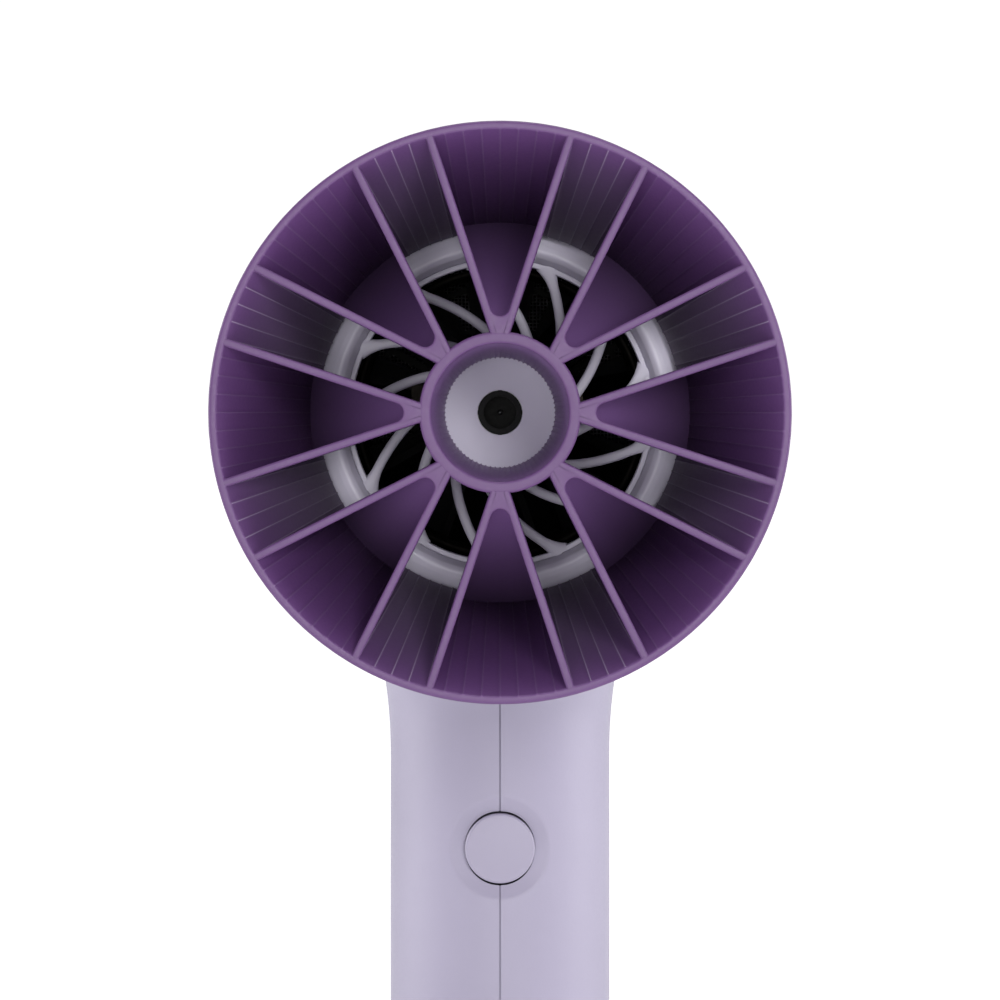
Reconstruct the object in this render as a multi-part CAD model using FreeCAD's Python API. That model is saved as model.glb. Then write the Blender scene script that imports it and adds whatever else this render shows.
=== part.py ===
"""Travel hair dryer with a volumising diffuser, built as separate pieces.

Frame: millimetres, +Z up. The origin is the centre of the cord inlet at the foot of the handle.
The barrel's axis runs along Y at z = AXIS_Z and the air leaves towards -Y.
"""
import FreeCAD, Part
import math
import os
from FreeCAD import Vector

# ---- driving dimensions ----------------------------------------------------------------------
AXIS_Z = 160.0            # height of the barrel's axis above the foot of the handle
BARREL_R = 37.0           # outside radius of the barrel
HANDLE_R = 20.25          # outside radius of the round handle
WALL = 2.2                # thickness of the casing's wall
NECK_BLEND_R = 20.0       # rolling radius between the barrel and the handle
CASE_FRONT = -46.0        # front edge of the casing's barrel
CASE_REAR = 50.0          # rear edge of the casing's barrel
END_CAP_H = 4.0           # thickness of the cap under the handle
FIT = 0.3                 # gap between pieces that move past each other
CLOSE = 0.05              # gap between pieces that are assembled face to face

RIM_Y = -92.0             # plane of the diffuser's rim
RIM_R = 50.0              # outside radius of the rim
RIM_WALL = 1.6            # thickness of the bell's wall
BELL_DEPTH = 34.0         # from the rim to the back of the air channels
BELL_THROAT_R = 32.0      # inside radius of the bell at its back
RIB_T = 1.4               # thickness of the sixteen ribs
RIB_START = 3.37          # half the width of an air channel at the bell's axis
RIB_SPREAD = 4.15         # degrees that each rib leans out from its channel's centre line
HUB_R = 13.8              # outside radius of the ring in the middle of the bell
HUB_FRONT_R = 11.8        # inside radius of that ring at the front
HUB_BACK_R = 9.7          # inside radius of that ring at its back
POCKETS = 8               # closed pockets, one every 45 degrees

NOSE_R = 32.8             # outside radius of the outlet ring
OUTLET_R = 27.2           # radius of the air outlet
GRILLE_Y = -57.0          # front plane of the outlet grille
GRILLE_HUB_R = 12.5       # radius of the hub in the middle of the grille
SPOKES = 13               # swirl spokes in the grille
SPOKE_T = 1.8             # width of a spoke
SPOKE_SWIRL = 0.806       # radians that a spoke turns each time its radius shrinks by the factor e
FIRST_SPOKE = 17.5        # degrees from the top to the outer end of the first spoke

BUTTON_Z = AXIS_Z - 79.6  # height of the front button
BUTTON_R = 6.4
BUTTON_TRAVEL = 1.2
DISH_R = 9.5              # radius of the finger dish around the button
SWITCH_Z = 92.0           # middle of the slide switch at the back of the handle
SWITCH_TRAVEL = 5.0       # each way from the middle position
CORD_R = 3.4              # radius of the cord's hole in the inlet bush
SCREW_X = 12.0            # end cap screws, left and right of the cord
SCREW_R = 1.4
SCREW_HEAD_R = 2.6
SCREW_SEAT_Z = 2.2
SCREW_TOP_Z = 21.0

IMPELLER_R = 29.4
DUCT_R = 30.0             # inside radius of the fan's duct
DUCT_FRONT = 6.0
DUCT_REAR = 47.0
SHAFT_R = 1.5
MOTOR_R = 13.5
COVER_R = 36.6            # outside radius of the rear cover
COVER_FRONT = 50.4        # front edge of the rear cover
COVER_REAR = 68.0         # back of the rear cover

os.makedirs("parts", exist_ok=True)
AXIS = Vector(0, 1, 0)
UP = Vector(0, 0, 1)


# ---- shape helpers ---------------------------------------------------------------------------
def save(name, shape):
    """Write one piece under its own name."""
    shape.exportStep("parts/" + name + ".step")


def disc(radius, y0, y1):
    """Round bar on the barrel's axis, from y0 to y1."""
    return Part.makeCylinder(radius, y1 - y0, Vector(0, y0, AXIS_Z), AXIS)


def ring(outer, inner, y0, y1):
    """Tube on the barrel's axis."""
    return disc(outer, y0, y1).cut(disc(inner, y0 - 1, y1 + 1))


def turned(*outline):
    """Solid of revolution about the barrel's axis from closed (radius, y) corners."""
    points = [Vector(r, y, AXIS_Z) for r, y in outline]
    face = Part.Face(Part.makePolygon(points + points[:1]))
    return face.revolve(Vector(0, 0, AXIS_Z), AXIS, 360)


def post(radius, z0, z1, x=0.0, y=0.0):
    """Upright round bar."""
    return Part.makeCylinder(radius, z1 - z0, Vector(x, y, z0), UP)


def block(x0, x1, y0, y1, z0, z1):
    """Box between its two corners."""
    return Part.makeBox(x1 - x0, y1 - y0, z1 - z0, Vector(x0, y0, z0))


def about_axis(shape, degrees):
    """Copy turned about the barrel's axis, clockwise as seen from the front."""
    copy = shape.copy()
    copy.rotate(Vector(0, 0, AXIS_Z), AXIS, degrees)
    return copy


def spread(shape, count, start=0.0):
    """Evenly spaced copies about the barrel's axis."""
    return [about_axis(shape, start + 360.0 * k / count) for k in range(count)]


def joined(shapes):
    """One solid from overlapping shapes."""
    return shapes[0].multiFuse(shapes[1:])


# ---- casing halves ---------------------------------------------------------------------------
def envelope(inset, overrun):
    """Barrel and handle with a rolled blend between them, moved in by a distance, longer at its ends."""
    barrel = disc(BARREL_R - inset, CASE_FRONT - overrun, CASE_REAR + overrun)
    handle = post(HANDLE_R - inset, END_CAP_H - overrun, AXIS_Z)
    body = barrel.fuse(handle).removeSplitter()
    corner = []
    for edge in body.Edges:
        box = edge.BoundBox
        if box.XLength > 15 and box.YLength > 15 and box.ZMin > END_CAP_H + 50 and box.ZMax < AXIS_Z - 5:
            corner.append(edge)
    return body.makeFillet(NECK_BLEND_R + inset, corner)


def finger_dish():
    """Ball that leaves a shallow round dish around the front button."""
    depth = 1.6
    ball_r = (DISH_R ** 2 + depth ** 2) / (2 * depth)
    return Part.makeSphere(ball_r, Vector(0, -HANDLE_R - ball_r + depth, BUTTON_Z))


def seam_groove():
    """Thin frame that leaves a groove along the seam, half a millimetre deep."""
    skin = 0.5
    core = disc(BARREL_R - skin, CASE_FRONT - 1, CASE_REAR + 1).fuse(post(HANDLE_R - skin, 0, AXIS_Z))
    return block(-0.2, 0.2, -100, 100, 0, 250).cut(core)


def casing_shell():
    """Both halves in one, hollow, with every opening."""
    shell = envelope(0.0, 0.0).cut(envelope(WALL, 1.0))
    mouth_taper = turned((BARREL_R - 1.2, CASE_FRONT), (BARREL_R, CASE_FRONT + 5),
                         (BARREL_R + 2, CASE_FRONT + 5), (BARREL_R + 2, CASE_FRONT))
    button_hole = Part.makeCylinder(BUTTON_R + FIT, 12, Vector(0, -HANDLE_R - 5, BUTTON_Z), AXIS)
    slot_half = SWITCH_TRAVEL + 4.0
    slot = block(-3.0, 3.0, HANDLE_R - 6, HANDLE_R + 2, SWITCH_Z - slot_half, SWITCH_Z + slot_half)
    return shell.cut(mouth_taper).cut(finger_dish()).cut(button_hole).cut(slot).cut(seam_groove())


def casing_half(side):
    """One half of the shell, with its boss for an end cap screw."""
    reach = 60.0
    half = casing_shell().common(block(min(0, side * reach), max(0, side * reach), -100, 100, 0, 250))
    boss_low = END_CAP_H + 5.1
    boss_high = SCREW_TOP_Z + 3
    web_x = HANDLE_R - WALL / 2
    boss = post(2.8, boss_low, boss_high, side * SCREW_X)
    boss = boss.fuse(block(min(side * SCREW_X, side * web_x), max(side * SCREW_X, side * web_x),
                           -1.2, 1.2, boss_low, boss_high))
    return half.fuse(boss).cut(post(SCREW_R + 0.03, 0, SCREW_TOP_Z + 1, side * SCREW_X))


save("right_casing", casing_half(1))
save("left_casing", casing_half(-1))


# ---- handle: end cap, cord bush, screws ------------------------------------------------------
def handle_end_cap():
    """Flat cap with a spigot that plugs into both casing halves."""
    cap = post(HANDLE_R, 0, END_CAP_H - CLOSE)
    rim = [e for e in cap.Edges if e.BoundBox.ZMax < 0.1]
    cap = cap.makeFillet(1.2, rim)
    spigot = post(HANDLE_R - WALL - CLOSE, END_CAP_H - 1, END_CAP_H + 5)
    cap = cap.fuse(spigot).cut(post(HANDLE_R - WALL - 2, END_CAP_H, 20)).cut(post(5.5, -1, 20))
    for x in (-SCREW_X, SCREW_X):
        cap = cap.cut(post(SCREW_R + 0.2, -1, 20, x)).cut(post(SCREW_HEAD_R + 0.2, -1, SCREW_SEAT_Z, x))
    return cap


def cord_gland():
    """Rubber bush that the cord runs through, held in the end cap by its flange."""
    bush = post(5.5 - CLOSE, 0, 10).fuse(post(8.0, END_CAP_H + CLOSE, 7))
    return bush.cut(post(CORD_R, -1, 20))


save("handle_end_cap", handle_end_cap())
save("cord_gland", cord_gland())


def cap_screw(x):
    """Countersunk screw from under the end cap up into one casing half's boss."""
    shank = post(SCREW_R, SCREW_SEAT_Z - 0.5, SCREW_TOP_Z, x)
    return shank.fuse(post(SCREW_HEAD_R, 0.6, SCREW_SEAT_Z, x))


save("end_cap_screws", Part.makeCompound([cap_screw(-SCREW_X), cap_screw(SCREW_X)]))


# ---- front button, its return sleeve, switch and board ---------------------------------------
BOARD_Y = -6.0
BUTTON_FACE_Y = -HANDLE_R - 0.2
BUTTON_BACK_Y = BUTTON_FACE_Y + 5.6
SWITCH_BODY_Y = BOARD_Y - 4.5


def on_button(radius, y0, y1):
    """Round bar on the front button's axis."""
    return Part.makeCylinder(radius, y1 - y0, Vector(0, y0, BUTTON_Z), AXIS)


front_button = on_button(BUTTON_R, BUTTON_FACE_Y, BUTTON_BACK_Y)
front_edge = [e for e in front_button.Edges if e.BoundBox.YMax < BUTTON_FACE_Y + 0.1]
front_button = front_button.makeFillet(0.7, front_edge)
front_button = front_button.fuse(on_button(BUTTON_R + 1.0, BUTTON_BACK_Y - 1.2, BUTTON_BACK_Y))
front_button = front_button.fuse(on_button(1.6, BUTTON_BACK_Y, SWITCH_BODY_Y - 0.4 - BUTTON_TRAVEL))
save("front_button", front_button)


def bellows(valley_r, peak_r, wall, y0, y1, folds):
    """Thin folded sleeve on the front button's axis: its outline goes in and out, folds times."""
    count = 2 * folds
    outer = [Vector(peak_r if k % 2 else valley_r, y0 + (y1 - y0) * k / count, BUTTON_Z)
             for k in range(count + 1)]
    inner = [point - Vector(wall, 0, 0) for point in reversed(outer)]
    outline = Part.Face(Part.makePolygon(outer + inner + outer[:1]))
    return outline.revolve(Vector(0, 0, BUTTON_Z), AXIS, 360)


BUTTON_PLATE_Y = SWITCH_BODY_Y + 1.5
save("button_spring", bellows(4.6, 5.5, 0.7, BUTTON_BACK_Y + 0.05, BUTTON_PLATE_Y - 0.05, 3))

tact_switch = on_button(1.5, SWITCH_BODY_Y - 0.1, SWITCH_BODY_Y + 1.0)
tact_switch = tact_switch.fuse(block(-2.2, 2.2, SWITCH_BODY_Y + 1.0, BOARD_Y - CLOSE,
                                     BUTTON_Z - 2.2, BUTTON_Z + 2.2))
save("tact_switch", tact_switch)

carrier = block(-11, 11, BUTTON_PLATE_Y, BUTTON_PLATE_Y + 1.4, BUTTON_Z - 12, BUTTON_Z + 12)
carrier = carrier.cut(on_button(3.4, BUTTON_PLATE_Y - 1, BUTTON_PLATE_Y + 3))
for foot_z in (BUTTON_Z - 12, BUTTON_Z + 10):
    carrier = carrier.fuse(block(-11, 11, BUTTON_PLATE_Y, BOARD_Y - CLOSE, foot_z, foot_z + 2))
save("button_carrier", carrier)

BOARD_LOW = 52.0
BOARD_HIGH = 116.0
save("control_board", block(-13, 13, BOARD_Y, BOARD_Y + 1.6, BOARD_LOW, BOARD_HIGH))

component_y = BOARD_Y - CLOSE
capacitor = Part.makeCylinder(4.0, 9, Vector(-6, component_y - 9, 104), AXIS)
relay = block(0, 10, component_y - 7, component_y, 98, 112)
chip = block(-4, 4, component_y - 1.6, component_y, 58, 64)
save("board_components", Part.makeCompound([capacitor, relay, chip]))

# ---- slide switch at the back of the handle --------------------------------------------------
KNOB_FLOOR_Y = HANDLE_R - WALL - 0.3
switch_body = block(-6, 6, BOARD_Y + 1.6 + CLOSE, KNOB_FLOOR_Y - 3.0, SWITCH_Z - 14, SWITCH_Z + 14)
track = block(-1.8, 1.8, KNOB_FLOOR_Y - 8.0, KNOB_FLOOR_Y, SWITCH_Z - 8.5, SWITCH_Z + 8.5)
save("slide_switch", switch_body.cut(track))

knob_half = 8.0
knob_pad = block(-6.5, 6.5, HANDLE_R - 2, HANDLE_R + 2.6, SWITCH_Z - knob_half, SWITCH_Z + knob_half)
knob_pad = knob_pad.cut(post(HANDLE_R + FIT, SWITCH_Z - 20, SWITCH_Z + 20))
upper_edges = [e for e in knob_pad.Edges if e.BoundBox.YMin > HANDLE_R + 2.5]
knob_pad = knob_pad.makeFillet(1.0, upper_edges)
knob_stem = block(-2.6, 2.6, KNOB_FLOOR_Y - 2.5, HANDLE_R + 1.5, SWITCH_Z - 3.5, SWITCH_Z + 3.5)
knob_pin = block(-1.4, 1.4, KNOB_FLOOR_Y - 7.0, KNOB_FLOOR_Y - 2.0, SWITCH_Z - 3.0, SWITCH_Z + 3.0)
save("switch_knob", joined([knob_pad, knob_stem, knob_pin]))

# ---- outlet: nose ring, grille, ion needle ---------------------------------------------------
CASE_MOUTH_R = BARREL_R - WALL
nose_ring = turned((OUTLET_R, GRILLE_Y + 2.2), (OUTLET_R + 0.6, GRILLE_Y + 0.8), (OUTLET_R + 1.8, GRILLE_Y),
                   (OUTLET_R + 3.6, GRILLE_Y + 0.5), (NOSE_R, GRILLE_Y + 2.0),
                   (NOSE_R, CASE_FRONT - 0.4), (BARREL_R - 1.4, CASE_FRONT - 0.4),
                   (BARREL_R - 1.4, CASE_FRONT - CLOSE), (CASE_MOUTH_R - CLOSE, CASE_FRONT - CLOSE),
                   (CASE_MOUTH_R - CLOSE, CASE_FRONT + 6), (OUTLET_R + 4.0, CASE_FRONT + 6),
                   (OUTLET_R + 4.0, CASE_FRONT + 1), (OUTLET_R, CASE_FRONT - 2))
save("nozzle_ring", nose_ring)


def swirl_spoke():
    """One curved blade from the hub to the outlet, a spiral strip of constant width."""
    steps = 6
    inner_r = GRILLE_HUB_R - 1.0
    outer_r = OUTLET_R - CLOSE
    sides = []
    for side in (-1, 1):
        row = []
        for k in range(steps + 1):
            share = k / steps
            radius = inner_r + (outer_r - inner_r) * share
            turn = SPOKE_SWIRL * math.log(outer_r / radius)
            turn += side * 0.5 * SPOKE_T * math.hypot(1.0, SPOKE_SWIRL) / radius
            row.append(Vector(radius * math.sin(turn), 0, radius * math.cos(turn)))
        sides.append(row)
    left = Part.BSplineCurve()
    left.interpolate(sides[0])
    right = Part.BSplineCurve()
    right.interpolate(sides[1])
    edges = [left.toShape(), Part.LineSegment(sides[0][-1], sides[1][-1]).toShape(),
             right.toShape(), Part.LineSegment(sides[1][0], sides[0][0]).toShape()]
    face = Part.Face(Part.Wire(Part.__sortEdges__(edges)))
    face.translate(Vector(0, GRILLE_Y + 3.0, AXIS_Z))
    return face.extrude(Vector(0, 4.0, 0))


grille_hub = turned((4.0, GRILLE_Y + 6.0), (11.0, GRILLE_Y + 1.6), (GRILLE_HUB_R, GRILLE_Y + 2.0),
                    (GRILLE_HUB_R, GRILLE_Y + 9.0), (11.0, GRILLE_Y + 9.0), (5.4, GRILLE_Y + 9.0),
                    (5.4, GRILLE_Y + 12.0), (4.0, GRILLE_Y + 12.0))
grille_rim = ring(OUTLET_R - CLOSE, OUTLET_R - 1.0, GRILLE_Y + 3.0, GRILLE_Y + 8.0)
save("front_grille", joined([grille_hub, grille_rim] + spread(swirl_spoke(), SPOKES, FIRST_SPOKE)))

sleeve = ring(3.9, 2.9, GRILLE_Y + 7.0, GRILLE_Y + 13.0).fuse(ring(3.9, 0.45, GRILLE_Y + 13.0, GRILLE_Y + 16.0))
save("ion_sleeve", sleeve)
needle = Part.makeCone(0.4, 0.1, 2.0, Vector(0, GRILLE_Y + 10.0, AXIS_Z), Vector(0, -1, 0))
save("ion_needle", needle.fuse(disc(0.4, GRILLE_Y + 10.0, GRILLE_Y + 18.0)))

# ---- heater: mica tube, crossed boards, coils, thermostat and fuse ---------------------------
HEATER_FRONT = -36.0
HEATER_REAR = 4.0
TUBE_R = OUTLET_R + 4.0 - 0.1
TUBE_WALL = 0.7
BOARD_T = 0.8
BOARD_HALF = 25.0
END_HALF = TUBE_R - TUBE_WALL - 0.1
END_LENGTH = 3.0
save("heater_tube", ring(TUBE_R, TUBE_R - TUBE_WALL, CASE_FRONT + 1.4, DUCT_FRONT - CLOSE))



def mica_board(notch_y0, notch_y1):
    """Flat board, wider at its two ends where the tube holds it, slotted to cross the other one."""
    board = block(-BOARD_HALF, BOARD_HALF, HEATER_FRONT, HEATER_REAR,
                  AXIS_Z - BOARD_T / 2, AXIS_Z + BOARD_T / 2)
    for end_y in (HEATER_FRONT, HEATER_REAR - END_LENGTH):
        board = board.fuse(block(-END_HALF, END_HALF, end_y, end_y + END_LENGTH,
                                 AXIS_Z - BOARD_T / 2, AXIS_Z + BOARD_T / 2))
    half_gap = BOARD_T / 2 + CLOSE
    return board.cut(block(-half_gap, half_gap, notch_y0, notch_y1, AXIS_Z - 2, AXIS_Z + 2))


cross_y = (HEATER_FRONT + HEATER_REAR) / 2
save("mica_board_flat", mica_board(cross_y - CLOSE, HEATER_REAR + 1))
save("mica_board_upright", about_axis(mica_board(HEATER_FRONT - 1, cross_y + CLOSE), 90))

COIL_WIRE_R = 0.6
COIL_COUNT = 9
coils = []
for k in range(COIL_COUNT):
    coil_y = HEATER_FRONT + END_LENGTH + 2.0 + k * 3.75
    coils.append(Part.makeTorus(BOARD_HALF + COIL_WIRE_R + 0.05, COIL_WIRE_R,
                                Vector(0, coil_y, AXIS_Z), AXIS))
save("heater_coils", Part.makeCompound(coils))

thermostat = block(-16, -8, HEATER_FRONT + 5, HEATER_FRONT + 15,
                   AXIS_Z + BOARD_T / 2 + CLOSE, AXIS_Z + 5)
save("thermostat", thermostat)
fuse = Part.makeCylinder(2.0, 11, Vector(13, HEATER_FRONT + 6, AXIS_Z + BOARD_T / 2 + CLOSE + 2.0), AXIS)
save("thermal_fuse", fuse)

# ---- fan: duct with guide vanes, motor, rotor, impeller --------------------------------------
MOTOR_FRONT = 9.0
MOTOR_REAR = 31.0
ROTOR_R = 7.0


def guide_vane():
    """Flat fixed vane between the motor's holder and the duct, leaning with the air."""
    vane = block(-0.7, 0.7, MOTOR_FRONT + 3, MOTOR_REAR - 4, AXIS_Z + MOTOR_R + 1, AXIS_Z + DUCT_R + 0.6)
    vane.rotate(Vector(0, 18, AXIS_Z), UP, 18)
    return vane


duct = ring(DUCT_R + 1.5, DUCT_R, DUCT_FRONT, DUCT_REAR)
holder = ring(MOTOR_R + 1.6, MOTOR_R + CLOSE, MOTOR_FRONT + 1, MOTOR_REAR - 2)
save("motor_mount", joined([duct, holder] + spread(guide_vane(), 9)))

damper_y = (DUCT_FRONT + 4.0, DUCT_REAR - 9.0)
dampers = [ring(BARREL_R - WALL - CLOSE, DUCT_R + 1.5 + CLOSE, y, y + 4.0) for y in damper_y]
save("motor_dampers", Part.makeCompound(dampers))

motor_can = ring(MOTOR_R, MOTOR_R - 1.2, MOTOR_FRONT, MOTOR_REAR)
motor_can = motor_can.fuse(ring(MOTOR_R - 1.0, 4.0, MOTOR_FRONT, MOTOR_FRONT + 1.2))
motor_can = motor_can.fuse(ring(MOTOR_R - 1.0, 4.0, MOTOR_REAR - 1.2, MOTOR_REAR))
save("motor_can", motor_can)
stator = ring(MOTOR_R - 1.2 - CLOSE, ROTOR_R + 0.6, MOTOR_FRONT + 6, MOTOR_REAR - 6)
save("stator_core", stator)
windings = [ring(MOTOR_R - 2.2, ROTOR_R + 1.4, y, y + 3.0) for y in (MOTOR_FRONT + 2.5, MOTOR_REAR - 5.9)]
save("stator_windings", Part.makeCompound(windings))

for name, y in (("front_bearing", MOTOR_FRONT), ("rear_bearing", MOTOR_REAR - 2.2)):
    save(name, ring(4.0 - CLOSE, SHAFT_R + 0.03, y, y + 2.2))

IMPELLER_FRONT = 33.0
IMPELLER_REAR = 45.0
save("rotor_shaft", disc(SHAFT_R, MOTOR_FRONT - 1, IMPELLER_REAR + 1))
save("rotor_magnet", ring(ROTOR_R, SHAFT_R + 0.02, MOTOR_FRONT + 6, MOTOR_REAR - 6))


def fan_blade():
    """Twisted blade lofted from a steep section at the hub to a flat one at the tip."""
    sections = []
    for radius, lean in ((11.5, 38.0), (20.0, 52.0), (IMPELLER_R, 60.0)):
        chord = (IMPELLER_REAR - IMPELLER_FRONT - 2) / math.cos(math.radians(lean)) * 0.85
        half_t = 0.55
        corners = [Vector(-half_t, -chord / 2, 0), Vector(half_t, -chord / 2, 0),
                   Vector(half_t, chord / 2, 0), Vector(-half_t, chord / 2, 0)]
        wire = Part.makePolygon(corners + corners[:1])
        wire.rotate(Vector(0, 0, 0), UP, lean)
        wire.translate(Vector(0, (IMPELLER_FRONT + IMPELLER_REAR) / 2, AXIS_Z + radius))
        sections.append(wire)
    blade = Part.makeLoft(sections, True, True)
    return blade.common(disc(IMPELLER_R, IMPELLER_FRONT, IMPELLER_REAR))


fan_hub = turned((SHAFT_R + 0.02, IMPELLER_FRONT), (12.5, IMPELLER_FRONT), (12.5, IMPELLER_REAR - 4),
                 (9.0, IMPELLER_REAR), (SHAFT_R + 0.02, IMPELLER_REAR))
save("impeller", joined([fan_hub] + spread(fan_blade(), 9)))

# ---- intake: guard, pull-off cover, filter mesh, magnets -------------------------------------
GUARD_Y = CASE_REAR - 1.6
guard_rings = [ring(r + 1.2, r, GUARD_Y, GUARD_Y + 1.6) for r in (8.0, 16.0, 24.0)]
guard_hub = disc(3.5, GUARD_Y, GUARD_Y + 1.6)
guard_rim = ring(BARREL_R - WALL - CLOSE, 31.0, GUARD_Y - 1.0, GUARD_Y + 1.6)
guard_bar = block(-0.7, 0.7, GUARD_Y, GUARD_Y + 1.6, AXIS_Z + 2, AXIS_Z + 32)
save("intake_guard", joined([guard_rim, guard_hub] + guard_rings + spread(guard_bar, 6)))


def magnets(y0, y1, radius, start):
    """Four small round magnets on one circle."""
    one = Part.makeCylinder(2.0, y1 - y0, Vector(0, y0, AXIS_Z + radius), AXIS)
    return Part.makeCompound(spread(one, 4, start))


MAGNET_CIRCLE_R = 31.4


def rear_cover():
    """Pull-off cover: a rounded cap, perforated at its back and over its side wall."""
    outer = disc(COVER_R, COVER_FRONT, COVER_REAR)
    back_edge = [e for e in outer.Edges if e.BoundBox.YMin > COVER_REAR - 0.1]
    outer = outer.makeFillet(6.0, back_edge)
    inner = disc(COVER_R - 1.8, COVER_FRONT - 1, COVER_REAR - 1.8)
    inner_edge = [e for e in inner.Edges if e.BoundBox.YMin > COVER_REAR - 1.9]
    shell = outer.cut(inner.makeFillet(4.6, inner_edge))
    flange = ring(COVER_R - 1.7, 29.0, COVER_FRONT, COVER_FRONT + 2.6)
    shell = shell.fuse(flange)
    holes = []
    for circle, radius in enumerate((6.0, 10.5, 15.0, 19.5, 24.0, 28.0)):
        hole = Part.makeCylinder(1.2, 6, Vector(0, COVER_REAR - 4, AXIS_Z + radius), AXIS)
        holes.extend(spread(hole, 8 * (circle + 1), 3.0 * circle))
    holes.append(Part.makeCylinder(1.2, 6, Vector(0, COVER_REAR - 4, AXIS_Z), AXIS))
    seats = magnets(COVER_FRONT - 1, COVER_FRONT + 1.6, MAGNET_CIRCLE_R, 45)
    return shell.cut(Part.makeCompound(holes)).cut(seats)


save("rear_cover", rear_cover())
save("cover_magnets", magnets(COVER_FRONT, COVER_FRONT + 1.6 - CLOSE, MAGNET_CIRCLE_R, 45))
FILTER_R = COVER_R - 1.8 - CLOSE
FILTER_Y = COVER_REAR - 8.2
filter_frame = ring(FILTER_R, FILTER_R - 2.5, FILTER_Y, FILTER_Y + 1.6)
save("filter_mesh", filter_frame.fuse(disc(FILTER_R - 2.4, FILTER_Y + 0.6, FILTER_Y + 1.0)))

# ---- diffuser collar: clips over the nose and carries the bell -------------------------------
COLLAR_IN = NOSE_R + FIT
COLLAR_OUT = COLLAR_IN + 1.3
COLLAR_FRONT = GRILLE_Y + 0.7
COLLAR_REAR = CASE_FRONT - 0.4 - FIT
bead_y = (COLLAR_FRONT + COLLAR_REAR) / 2
collar = turned((COLLAR_IN, COLLAR_FRONT), (COLLAR_OUT, COLLAR_FRONT), (COLLAR_OUT, bead_y - 1.0),
                (COLLAR_OUT + 0.6, bead_y), (COLLAR_OUT, bead_y + 1.0), (COLLAR_OUT, COLLAR_REAR),
                (COLLAR_IN, COLLAR_REAR))
magnet_seat = block(-2.5, 2.5, COLLAR_REAR - 4.0, COLLAR_REAR - 1.0, AXIS_Z + COLLAR_IN - 0.2,
                    AXIS_Z + COLLAR_OUT + 2)
magnet_seat = magnet_seat.common(disc(COLLAR_OUT - 0.35, -80, 0))
save("diffuser_collar", collar.cut(Part.makeCompound(spread(magnet_seat, 6))))
magnet_block = block(-2.4, 2.4, COLLAR_REAR - 3.9, COLLAR_REAR - 1.1, AXIS_Z + COLLAR_IN,
                     AXIS_Z + COLLAR_OUT + 2)
magnet_block = magnet_block.common(disc(COLLAR_OUT - 0.4, -80, 0)).cut(disc(COLLAR_IN, -80, 0))
save("collar_magnets", Part.makeCompound(spread(magnet_block, 6)))

# ---- diffuser bell ---------------------------------------------------------------------------
BELL_BACK = RIM_Y + BELL_DEPTH
SKIRT_IN = COLLAR_OUT + FIT
SKIRT_OUT = SKIRT_IN + 1.4
FLOOR_IN_R = 16.0
FLOOR_IN_DEPTH = 6.0
FLOOR_OUT_DEPTH = 31.3


def bell_wall():
    """Conical wall with its rim, a back lip and the skirt that turns on the collar."""
    throat_lip_y = COLLAR_FRONT - FIT
    return turned((RIM_R - RIM_WALL, RIM_Y), (RIM_R, RIM_Y), (SKIRT_OUT + 0.2, BELL_BACK - 2.0),
                  (SKIRT_OUT, BELL_BACK), (SKIRT_OUT, COLLAR_REAR), (SKIRT_IN, COLLAR_REAR),
                  (SKIRT_IN, bead_y + 1.4), (SKIRT_IN + 0.6, bead_y), (SKIRT_IN, bead_y - 1.4),
                  (SKIRT_IN, throat_lip_y), (BELL_THROAT_R, throat_lip_y), (BELL_THROAT_R, BELL_BACK))


def bell_inside():
    """Space inside the conical wall, a little into the wall so that ribs join it."""
    return turned((0, RIM_Y + 0.2), (RIM_R - RIM_WALL + 0.6, RIM_Y + 0.2), (BELL_THROAT_R + 0.6, BELL_BACK),
                  (0, BELL_BACK))


def rib(side):
    """One straight rib beside the channel that points straight up."""
    plate = block(-RIB_T / 2, RIB_T / 2, RIM_Y, BELL_BACK, AXIS_Z + 8, AXIS_Z + RIM_R + 5)
    plate.rotate(Vector(0, 0, AXIS_Z), AXIS, side * RIB_SPREAD)
    plate.translate(Vector(side * RIB_START, 0, 0))
    return plate


def pocket_sector():
    """Wedge between the two ribs of the pocket that points straight up."""
    half = 22.5 - RIB_SPREAD
    apex = RIB_START * math.cos(math.radians(RIB_SPREAD)) / math.sin(math.radians(half))
    reach = RIM_R + 10
    left = Vector(-reach * math.tan(math.radians(half)), RIM_Y - 1, AXIS_Z + apex + reach)
    right = Vector(-left.x, left.y, left.z)
    tip = Vector(0, RIM_Y - 1, AXIS_Z + apex)
    face = Part.Face(Part.makePolygon([tip, left, right, tip]))
    return face.extrude(Vector(0, BELL_DEPTH + 1, 0))


def pocket_floor():
    """Sloping conical floor of the pocket that points straight up, and its solid tip."""
    slope = (FLOOR_OUT_DEPTH - FLOOR_IN_DEPTH) / (33.4 - FLOOR_IN_R)
    reach_r = 34.0
    reach_y = RIM_Y + FLOOR_IN_DEPTH + slope * (reach_r - FLOOR_IN_R)
    start_r = HUB_R - 0.8
    start_y = RIM_Y + FLOOR_IN_DEPTH + slope * (start_r - FLOOR_IN_R)
    cone = turned((start_r, start_y), (reach_r, reach_y), (reach_r, reach_y + 2.0),
                  (reach_r - 2.0, reach_y + 2.0), (start_r, start_y + 3.0))
    cone = cone.common(pocket_sector()).common(bell_inside())
    tip = disc(16.0, RIM_Y + 0.2, BELL_BACK).cut(disc(HUB_R - 0.8, RIM_Y - 1, BELL_BACK + 1))
    return cone.fuse(tip.common(pocket_sector()))


def hub_ring():
    """Ring in the middle of the bell, its bore tapering towards the back."""
    return turned((HUB_FRONT_R, RIM_Y + 0.3), (HUB_R, RIM_Y + 0.3), (HUB_R, BELL_BACK),
                  (HUB_BACK_R, BELL_BACK))


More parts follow.
